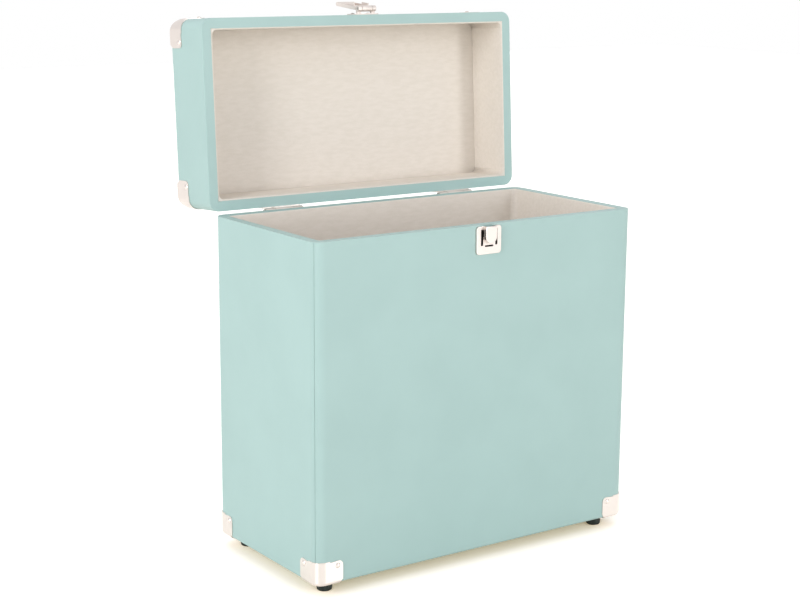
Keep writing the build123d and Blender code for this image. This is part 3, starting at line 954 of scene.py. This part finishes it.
@dataclass
class Linings:
    """Felt panels: thin slabs with soft edges and a slightly uneven face, coved in the corners."""

    finishes: Finishes
    edge_round_mm: float = 0.9
    unevenness_mm: float = 0.12
    ripple_mm: float = 40.0
    cell_mm: float = 14.0
    cove_radius_mm: float = 5.0
    cove_sunk_mm: float = 1.2
    cove_foot_mm: float = 0.2
    cove_draw: float = 0.7
    cove_steps: int = 8
    crown_steps: int = 3

    def finish_felt(self, name: str, mesh: Form, half: Half, rim: float) -> Piece:
        """Turns a straight mesh to a felt piece at rest, with a painted highlight: a lighter copy of the
        felt on the faces at the rim.

        Args:
            name: the piece's name.
            mesh: the geometry, before the half is turned.
            half: the half that it is in.
            rim: the height of the rim.

        Returns:
            The piece.
        """
        # Painted highlight: the faces at the rim take the lighter copy of the felt.
        for face in mesh.faces:
            if abs(face.calc_center_median().z - rim) < self.edge_round_mm * MM:
                face.material_index = 1
        mesh.transform(half_turn(half))
        piece = new_piece(name, mesh, self.finishes.felt)
        piece.data.materials.append(self.finishes.felt_edge)
        return piece

    def panel(self, half: Half, part: str) -> None:
        """Makes one felt panel in place of its CAD slab.

        Args:
            half: the half that it lines.
            part: which wall or panel of it.
        """
        node = f"{half.value}_{part}_lining"
        low, high = straight_box(node, half_turn(half))
        size = high - low
        thin = min(range(3), key=lambda axis: size[axis])
        mesh = bmesh.new()
        bmesh.ops.create_cube(mesh, size=1.0, matrix=sized((low + high) / 2, size))
        bmesh.ops.bevel(
            mesh, geom=list(mesh.edges), offset=self.edge_round_mm * MM, segments=3,
            profile=0.5, affect="EDGES",
        )
        self.divide(mesh, low, high)
        for vertex in mesh.verts:
            ripple = noise.noise(vertex.co * per_metre(self.ripple_mm)) * self.unevenness_mm * MM
            inner = 1 if vertex.co[thin] > (low[thin] + high[thin]) / 2 else -1
            vertex.co[thin] -= inner * abs(ripple)
        shade_smooth(mesh)
        piece = self.finish_felt(
            f"{half.value}_{part}_felt", mesh, half, rim_height(half, low, high)
        )
        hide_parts(node)
        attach(piece, half.value)

    def divide(self, mesh: Form, low: Vector, high: Vector) -> None:
        """Cuts a slab into cells along its two long directions.

        Args:
            mesh: the slab.
            low: its lowest corner.
            high: its highest corner.
        """
        for axis in range(3):
            length = high[axis] - low[axis]
            cuts = int(length / (self.cell_mm * MM))
            normal = Vector((0.0, 0.0, 0.0))
            normal[axis] = 1.0
            for step in range(1, cuts):
                at = Vector(low)
                at[axis] = low[axis] + length * step / cuts
                bmesh.ops.bisect_plane(
                    mesh, geom=[*mesh.verts, *mesh.edges, *mesh.faces], plane_co=at, plane_no=normal
                )

    def cove(self, half: Half, sides: tuple[int, int]) -> None:
        """Makes the rounding where two walls' felt meets, as one bent strip from panel to rim.

        Args:
            half: the half that it is in.
            sides: the corner, as signs along X and Y.
        """
        turn = half_turn(half)
        side_low, side_high = straight_box(f"{half.value}_right_lining", turn)
        back_low, _ = straight_box(f"{half.value}_back_lining", turn)
        low, high = straight_box(f"{half.value}_front_lining", turn)
        middle_y = (side_low.y + side_high.y) / 2
        inner = Vector((side_low.x, back_low.y - middle_y))
        mesh = bmesh.new()
        rings = []
        for level, spare in self.cove_levels(half, low.z, high.z):
            ring = []
            for x, y in self.cove_outline(inner):
                into = 0.0 if x > inner.x or y > inner.y else spare * self.cove_draw
                place = (sides[0] * (x + into), middle_y + sides[1] * (y + into), level)
                ring.append(mesh.verts.new(place))
            rings.append(ring)
        skin(mesh, rings)
        corner = f"{'front' if sides[1] < 0 else 'back'}_{'left' if sides[0] < 0 else 'right'}"
        piece = self.finish_felt(
            f"{half.value}_{corner}_felt_cove", mesh, half, rim_height(half, low, high)
        )
        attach(piece, half.value)

    def cove_outline(self, inner: Vector) -> list[tuple[float, float]]:
        """Gives a cove's section: an arc to the room, and a square corner sunk in the felt behind.

        Args:
            inner: where the two walls' faces meet, from the middle of the half.

        Returns:
            The points, in order.
        """
        radius, sunk = self.cove_radius_mm * MM, self.cove_sunk_mm * MM
        outline = [(inner.x + sunk, inner.y + sunk), (inner.x + sunk, inner.y - radius)]
        for step in range(self.cove_steps + 1):
            angle = math.pi / 2 * step / self.cove_steps
            across, along = radius * math.cos(angle), radius * math.sin(angle)
            outline.append((inner.x - radius + across, inner.y - radius + along))
        outline.append((inner.x - radius, inner.y + sunk))
        return outline

    def cove_levels(self, half: Half, low: float, high: float) -> list[tuple[float, float]]:
        """Gives a cove's rings, rounded over at the rim.

        Args:
            half: the half that it is in.
            low: the wall's lowest height.
            high: its highest.

        Returns:
            Height and how far the ring draws in, from the panel to the rim.
        """
        crown, foot = self.edge_round_mm * MM, self.cove_foot_mm * MM
        start, rim, up = (low, high, 1) if half is Half.BASE else (high, low, -1)
        levels = [(start + up * foot, 0.0), (rim - up * crown, 0.0)]
        for step in range(1, self.crown_steps + 1):
            angle = math.pi / 2 * step / self.crown_steps
            level = rim - up * crown * (1 - math.sin(angle))
            levels.append((level, crown * (1 - math.cos(angle))))
        return levels

    def build(self) -> None:
        """Makes the panels and coves of both halves."""
        for half, panel in ((Half.BASE, "bottom"), (Half.LID, "top")):
            for part in (panel, "front", "back", *SIDES):
                self.panel(half, part)
            for sides in ((-1, -1), (-1, 1), (1, -1), (1, 1)):
                self.cove(half, sides)


@dataclass
class Boards:
    """The fibreboard box inside the covers."""

    finishes: Finishes

    def build(self) -> None:
        """Dresses the boards."""
        names = [name for name in frame["nodes"] if name.endswith("_board")]
        paint_nodes(names, self.finishes.board)


@dataclass
class CornerIrons:
    """Pressed corner irons with rounded edges, and their dome nails."""

    finishes: Finishes
    edge_round_mm: float = 0.3

    def build(self) -> None:
        """Dresses the irons and nails of both halves."""
        for half in Half:
            for corner in CORNERS:
                node = f"{half.value}_iron_{corner}"
                softened(
                    node, f"{node}_pressing", half.value, self.finishes.nickel, self.edge_round_mm
                )
            paint_nodes([f"{half.value}_corner_nails"], self.finishes.nail_nickel)


@dataclass
class Feet:
    """Rubber feet and their screws."""

    finishes: Finishes
    edge_round_mm: float = 0.4

    def build(self) -> None:
        """Dresses the feet and screws."""
        for corner in CORNERS:
            node = f"foot_{corner}"
            softened(node, f"{node}_rubber", "base", self.finishes.rubber, self.edge_round_mm)
        paint_nodes(["foot_screws"], self.finishes.pin_steel)


@dataclass
class Hinges:
    """Two butt hinges: pressed leaves, turned pins and dome rivets."""

    finishes: Finishes
    edge_round_mm: float = 0.25

    def build(self) -> None:
        """Dresses the hinges, and the lid's rivets, which also hold the hasp and the handle."""
        for side in SIDES:
            for half in Half:
                node = f"hinge_{half.value}_leaf_{side}"
                softened(
                    node, f"{node}_pressing", half.value, self.finishes.nickel, self.edge_round_mm
                )
            paint_nodes([f"hinge_pin_{side}"], self.finishes.pin_steel)
        paint_nodes(["hinge_base_rivets", "lid_rivets"], self.finishes.nail_nickel)


@dataclass
class Latch:
    """The strike on the base, and the hasp and its lever on the lid."""

    finishes: Finishes
    edge_round_mm: float = 0.22
    lever_round_mm: float = 0.35
    shade_sheet_inset_mm: float = 2.2
    shade_sheet_thickness_mm: float = 0.12

    def strike_painted_shade(self) -> None:
        """Makes a thin black sheet between the strike and the leatherette, seen through the slots:
        painted shade for the dark hollow behind the strike.
        """
        low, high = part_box("strike_plate")
        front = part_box("base_wrap_cover")[0].y
        inset, thick = self.shade_sheet_inset_mm * MM, self.shade_sheet_thickness_mm * MM
        size = Vector((high.x - low.x - 2 * inset, thick, high.z - low.z - 2 * inset))
        middle = Vector(((low.x + high.x) / 2, front - thick / 2, (low.z + high.z) / 2))
        mesh = bmesh.new()
        bmesh.ops.create_cube(mesh, size=1.0, matrix=sized(middle, size))
        through = [
            edge for edge in mesh.edges
            if abs(edge.verts[0].co.y - edge.verts[1].co.y) > thick / 2
        ]
        bmesh.ops.bevel(mesh, geom=through, offset=inset, segments=4, profile=0.5, affect="EDGES")
        # Painted shade: a dark sheet put where there is only the shadow behind the strike.
        piece = new_piece("strike_backing_paper", mesh, self.finishes.black_paper)
        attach(piece, "base")

    def build(self) -> None:
        """Dresses the latch."""
        nickel = self.finishes.nickel
        softened("strike_plate", "strike_pressing", "base", nickel, self.edge_round_mm)
        self.strike_painted_shade()
        softened("hasp_plate", "hasp_plate_pressing", "lid", nickel, self.edge_round_mm)
        softened("hasp_lever", "hasp_lever_pressing", "hasp", nickel, self.lever_round_mm)
        paint_nodes(["hasp_pin"], self.finishes.pin_steel)
        paint_nodes(["strike_spring"], self.finishes.spring_steel)


@dataclass
class CarryHandle:
    """The handle: a wrapped grip with a sewn seam, two metal ends and their mounts."""

    finishes: Finishes
    ring_count: int = 40
    section_count: int = 36
    end_taper: float = 0.14
    taper_power: int = 6
    squareness: float = 2.6
    stitch_length_mm: float = 3.4
    stitch_pitch_mm: float = 4.6
    stitch_radius_mm: float = 0.35
    stitch_sunk_mm: float = 0.15
    stitch_slant: float = 6.0
    seam_end_mm: float = 6.0
    end_round_mm: float = 0.6
    mount_round_mm: float = 0.25

    def grip_point(self, along: float, angle: float, centre: Vector, half: Vector) -> Vector:
        """Gives a point on the grip's skin.

        Args:
            along: place along the grip, from -1 to 1.
            angle: place around the section, in radians.
            centre: the grip's middle.
            half: half its length, width and thickness.

        Returns:
            The point.
        """
        cos, sin = math.cos(angle), math.sin(angle)
        power = 2.0 / self.squareness
        size = 1.0 - self.end_taper * abs(along) ** self.taper_power
        return centre + Vector(
            (
                along * half.x,
                math.copysign(abs(cos) ** power, cos) * half.y * size,
                math.copysign(abs(sin) ** power, sin) * half.z * size,
            )
        )

    def grip(self) -> None:
        """Makes the wrapped grip."""
        low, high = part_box("handle_grip")
        centre, half = (low + high) / 2, (high - low) / 2
        mesh = bmesh.new()
        rings = []
        for step in range(self.ring_count + 1):
            along = -math.cos(math.pi * step / self.ring_count)
            angles = [2 * math.pi * k / self.section_count for k in range(self.section_count)]
            points = [self.grip_point(along, angle, centre, half) for angle in angles]
            rings.append([mesh.verts.new(point) for point in points])
        skin(mesh, rings)
        piece = new_piece("handle_grip_wrap", mesh, self.finishes.leatherette)
        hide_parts("handle_grip")
        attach(piece, "handle")

    def stitches(self) -> None:
        """Makes the row of stitches along the side of the grip that faces the lid's pivots."""
        low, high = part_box("handle_grip")
        centre = (low + high) / 2
        radius, pitch = self.stitch_radius_mm * MM, self.stitch_pitch_mm * MM
        level = high.z - self.stitch_sunk_mm * MM - radius / 2
        slant = Matrix.Rotation(math.radians(self.stitch_slant), 4, "Z")
        shape = Matrix.Diagonal((self.stitch_length_mm * MM / 2, radius, radius, 1))
        count = int((high.x - low.x - 2 * self.seam_end_mm * MM) / pitch)
        mesh = bmesh.new()
        for k in range(count):
            at = Vector((centre.x + (k - (count - 1) / 2) * pitch, centre.y, level))
            bmesh.ops.create_icosphere(
                mesh, subdivisions=2, radius=1.0, matrix=Matrix.Translation(at) @ slant @ shape
            )
        shade_smooth(mesh)
        piece = new_piece("handle_grip_stitches", mesh, self.finishes.thread)
        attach(piece, "handle")

    def build(self) -> None:
        """Makes the grip and dresses the metal."""
        nickel = self.finishes.nickel
        self.grip()
        self.stitches()
        for side in SIDES:
            end, mount = f"handle_end_{side}", f"handle_mount_{side}"
            softened(end, f"{end}_forging", "handle", nickel, self.end_round_mm)
            softened(mount, f"{mount}_pressing", "lid", nickel, self.mount_round_mm)
        paint_nodes(["handle_pivot_pins"], self.finishes.pin_steel)


# ---- the studio ----
def outward(azimuth: float, elevation: float) -> Vector:
    """Gives the direction away from the case at two angles in degrees, from its front and level."""
    turn, rise = math.radians(azimuth), math.radians(elevation)
    return Vector(
        (math.sin(turn) * math.cos(rise), -math.cos(turn) * math.cos(rise), math.sin(rise))
    )


@dataclass
class Camera:
    """The camera, aimed at a point over the middle of the base."""

    azimuth: float = -34.688
    elevation: float = 11.886
    roll: float = 0.34
    distance: float = 1.56154
    target_x: float = -0.02985
    target_z: float = 0.23487
    focal_px: float = 1677.95
    frame_px: float = 800.0
    sensor_mm: float = 36.0
    clip_start: float = 0.05

    def build(self) -> None:
        """Places the camera and makes it the scene's."""
        roll = math.radians(self.roll)
        back = outward(self.azimuth, self.elevation)
        right = Vector((0, 0, 1)).cross(back).normalized()
        up = back.cross(right)
        right, up = (
            right * math.cos(roll) + up * math.sin(roll),
            up * math.cos(roll) - right * math.sin(roll),
        )
        low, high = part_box("base_wrap_cover")
        target = Vector((self.target_x, (low.y + high.y) / 2, self.target_z))
        data = bpy.data.cameras.new("camera")
        data.sensor_width = self.sensor_mm
        data.sensor_fit = "HORIZONTAL"
        data.lens = self.focal_px / self.frame_px * self.sensor_mm
        data.clip_start = self.clip_start
        camera = bpy.data.objects.new("camera", data)
        rotation = Matrix((right, up, back)).transposed().to_4x4()
        camera.matrix_world = Matrix.Translation(target + back * self.distance) @ rotation
        bpy.context.scene.collection.objects.link(camera)
        bpy.context.scene.camera = camera


@dataclass
class Softbox:
    """One soft white lamp, given by where it stands around the case."""

    name: str
    azimuth: float
    elevation: float
    distance: float
    width: float
    height: float
    watts: float

    def build(self, target: Vector) -> None:
        """Makes the lamp and points it at a place.

        Args:
            target: what it shines at.
        """
        away = outward(self.azimuth, self.elevation)
        data = bpy.data.lights.new(self.name, "AREA")
        data.shape = "RECTANGLE"
        data.size, data.size_y = self.width, self.height
        data.energy = self.watts
        lamp = bpy.data.objects.new(self.name, data)
        lamp.location = target + away * self.distance
        lamp.rotation_euler = away.to_track_quat("Z", "Y").to_euler()
        bpy.context.scene.collection.objects.link(lamp)


@dataclass
class Studio:
    """A white floor, a surround that is brightest low at the back, and two tall softboxes.

    Metal sees the same white background as the camera, and the case's shadow on the floor. Near the case
    the floor also carries a painted shadow, dim and warm. Spans are how open the floor is, from 0 in a
    tight corner to 1.
    """

    floor_size: float = 12.0
    floor_cells: int = 8
    floor_colour: str = "#F4F1EA"
    floor_roughness: float = 0.8
    floor_lift: float = 0.62
    # The painted shadow: how far it reaches, its samples, its warm colour and how low it dims the lift.
    painted_shadow_reach: float = 0.05
    painted_shadow_samples: int = 12
    painted_shadow_colour: str = "#FFE3A8"
    painted_shadow_lift: float = 0.28
    lift_span: Span = (0.45, 0.9)
    painted_shadow_tint_span: Span = (0.1, 0.7)
    sky: Stops = ((0.0, "#D9D9D9"), (0.35, "#D2D2D2"), (0.8, "#8E8E90"), (1.0, "#7E7E80"))
    surround: float = 1.13
    rear_share: float = 0.85
    rear_reach: float = 0.25
    lamps: tuple[Softbox, ...] = (
        Softbox(
            "left_softbox",
            azimuth=-66.0, elevation=18.0, distance=2.6, width=0.6, height=1.8, watts=24.5,
        ),
        Softbox(
            "front_softbox",
            azimuth=22.0, elevation=13.0, distance=2.8, width=0.5, height=1.8, watts=17.5,
        ),
    )

    def sees_white(self, tree: Tree) -> Socket:
        """Gives 1 for the rays that see the white background: the camera's, and those in metal or glass.

        Args:
            tree: the floor's or the world's tree.

        Returns:
            The factor's socket.
        """
        rays = add_node(tree, "ShaderNodeLightPath")
        bent = add_node(
            tree, "ShaderNodeMath",
            links={0: rays.outputs["Is Glossy Ray"], 1: rays.outputs["Is Transmission Ray"]},
            operation="MAXIMUM",
        )
        either = add_node(
            tree, "ShaderNodeMath",
            links={0: rays.outputs["Is Camera Ray"], 1: bent.outputs["Value"]},
            operation="MAXIMUM",
        )
        return either.outputs["Value"]

    def floor(self) -> None:
        """Lays the paper: diffuse, lifted to white where the camera or a reflection sees it, with the
        lift dimmed and tinted warm near the case as a painted shadow.
        """
        mesh = bmesh.new()
        bmesh.ops.create_grid(
            mesh, x_segments=self.floor_cells, y_segments=self.floor_cells, size=self.floor_size / 2
        )
        material = bpy.data.materials.new("white_floor_paper")
        tree = bare_tree(material)
        paper = add_node(
            tree, "ShaderNodeBsdfDiffuse",
            {"Color": linear(self.floor_colour), "Roughness": self.floor_roughness},
        )
        # Painted shadow: ambient occlusion dims the white lift and tints it warm where the case is
        # close.
        corner = add_node(
            tree, "ShaderNodeAmbientOcclusion",
            {"Distance": self.painted_shadow_reach}, samples=self.painted_shadow_samples,
        )
        least, most = self.lift_span
        dim, bright = self.painted_shadow_lift, self.floor_lift
        open_floor = add_node(
            tree, "ShaderNodeMapRange",
            {"From Min": least, "From Max": most, "To Min": dim, "To Max": bright},
            {"Value": corner.outputs["AO"]},
        )
        lift = add_node(
            tree, "ShaderNodeMath",
            links={0: self.sees_white(tree), 1: open_floor.outputs["Result"]},
            operation="MULTIPLY",
        )
        least, most = self.painted_shadow_tint_span
        clear = add_node(
            tree, "ShaderNodeMapRange",
            {"From Min": least, "From Max": most}, {"Value": corner.outputs["AO"]},
        )
        tint = add_node(
            tree, "ShaderNodeMix",
            {6: linear(self.painted_shadow_colour), 7: linear(WHITE)}, {0: clear.outputs["Result"]},
            data_type="RGBA",
        )
        glow = add_node(
            tree, "ShaderNodeEmission",
            links={"Color": tint.outputs[2], "Strength": lift.outputs["Value"]},
        )
        both = add_node(
            tree, "ShaderNodeAddShader", links={0: paper.outputs["BSDF"], 1: glow.outputs["Emission"]}
        )
        add_node(tree, "ShaderNodeOutputMaterial", links={"Surface": both.outputs["Shader"]})
        new_piece("studio_floor", mesh, material)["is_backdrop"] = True

    def world(self) -> None:
        """Lights the case evenly, a little more from behind; the camera and metal see it as white."""
        world = bpy.data.worlds.new("white_studio")
        tree = bare_tree(world)
        direction = add_node(tree, "ShaderNodeTexCoord")
        axes = add_node(tree, "ShaderNodeSeparateXYZ", links={0: direction.outputs["Generated"]})
        height = add_node(tree, "ShaderNodeValToRGB", links={"Fac": axes.outputs["Z"]})
        fill_ramp(height, self.sky)
        behind = add_node(
            tree, "ShaderNodeMapRange",
            {"From Min": -self.rear_reach, "From Max": self.rear_reach}, {"Value": axes.outputs["Y"]},
        )
        from_behind = add_node(
            tree, "ShaderNodeMath",
            {1: self.rear_share}, {0: behind.outputs["Result"]}, operation="MULTIPLY",
        )
        all_round = add_node(
            tree, "ShaderNodeMix",
            {7: linear(WHITE)}, {0: from_behind.outputs["Value"], 6: height.outputs["Color"]},
            data_type="RGBA",
        )
        plain = add_node(
            tree, "ShaderNodeBackground", {"Strength": self.surround}, {"Color": all_round.outputs[2]}
        )
        white = add_node(tree, "ShaderNodeBackground", {"Color": linear(WHITE), "Strength": 1.0})
        seen = add_node(
            tree, "ShaderNodeMixShader",
            links={0: self.sees_white(tree), 1: plain.outputs[0], 2: white.outputs[0]},
        )
        add_node(tree, "ShaderNodeOutputWorld", links={"Surface": seen.outputs[0]})
        world.cycles.sampling_method = "NONE"
        bpy.context.scene.world = world

    def build(self) -> None:
        """Sets the studio up around the case."""
        self.floor()
        self.world()
        low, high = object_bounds()
        target = Vector(((low[0] + high[0]) / 2, (low[1] + high[1]) / 2, (low[2] + high[2]) / 2))
        for lamp in self.lamps:
            lamp.build(target)
        bpy.context.scene.view_settings.view_transform = "Standard"


def main() -> None:
    """Builds every sub-assembly and the studio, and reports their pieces."""
    logging.basicConfig(level=logging.INFO, format="%(name)s: %(message)s")
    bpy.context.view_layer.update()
    finishes = Finishes.mix()
    assemblies = (Boards, Covers, Linings, CornerIrons, Feet, Hinges, Latch, CarryHandle)
    for assembly in (Camera(), *(kind(finishes) for kind in assemblies), Studio()):
        before = set(bpy.data.objects.keys())
        assembly.build()
        for name in sorted(set(bpy.data.objects.keys()) - before):
            LOG.info("%s: made by %s", name, type(assembly).__name__)


if __name__ == "__main__":
    main()
